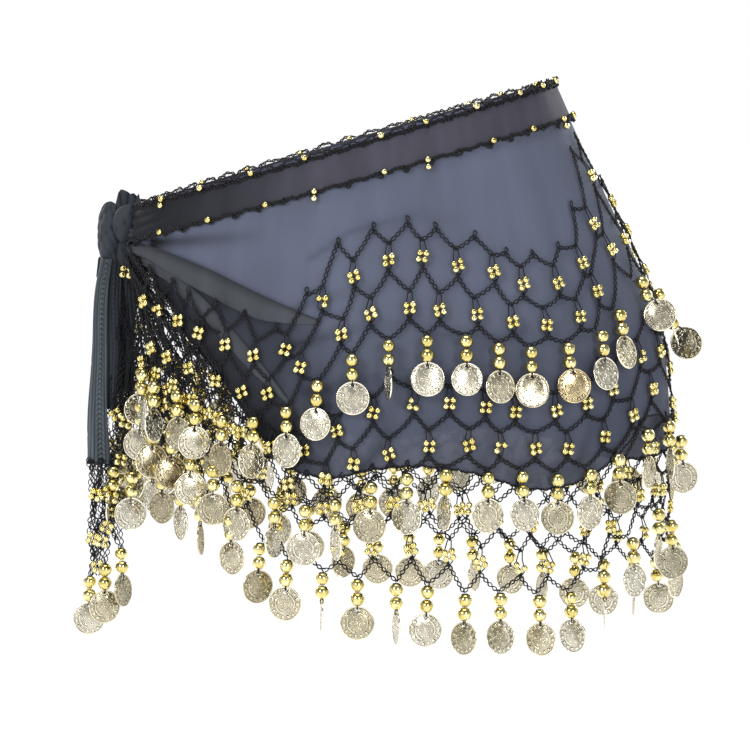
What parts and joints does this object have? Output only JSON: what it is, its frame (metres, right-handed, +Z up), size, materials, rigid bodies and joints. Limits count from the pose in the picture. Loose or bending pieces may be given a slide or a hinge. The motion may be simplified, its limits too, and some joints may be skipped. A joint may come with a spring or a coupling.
{
  "type": "belly dance hip scarf",
  "caption": "Black chiffon belly dance hip scarf, tied at one side, with tiers of crocheted net, gold beads and hanging coins, in its worn, hollow form.",
  "frame": {"origin": "middle of the waist opening, where the wearer holds the scarf up", "axes": "+Z up out of the waist opening; -X towards the knot; -Y out of the near hip"},
  "size_m": [0.3828, 0.2673, 0.3677],
  "materials": {
    "chiffon": "sheer single chiffon, soft matt",
    "doubled_chiffon": "doubled and gathered chiffon, dense and matt",
    "crochet_yarn": "crocheted yarn chain",
    "gold_bead": "polished gold plating",
    "coin_metal": "pale gold plating, stamped"
  },
  "bodies": {
    "root": {"hip_panel": "chiffon", "waist_band": "doubled_chiffon", "edging_top": "crochet_yarn", "edging_band": "crochet_yarn", "fold_upper_front": "doubled_chiffon", "fold_lower_front": "doubled_chiffon", "fold_upper_back": "doubled_chiffon", "fold_lower_back": "doubled_chiffon", "net_upper": "crochet_yarn", "net_middle": "crochet_yarn", "net_lower": "crochet_yarn", "coin_row_upper": "coin_metal", "coin_row_middle": "coin_metal", "coin_row_lower": "coin_metal", "knot_wrap": "doubled_chiffon", "knot_loop": "doubled_chiffon", "knot_tuck": "doubled_chiffon", "tail_cloth_front": "doubled_chiffon", "tail_cloth_back": "doubled_chiffon", "tail_fringe_front": "crochet_yarn", "tail_fringe_back": "crochet_yarn"}
  },
  "joints": []
}
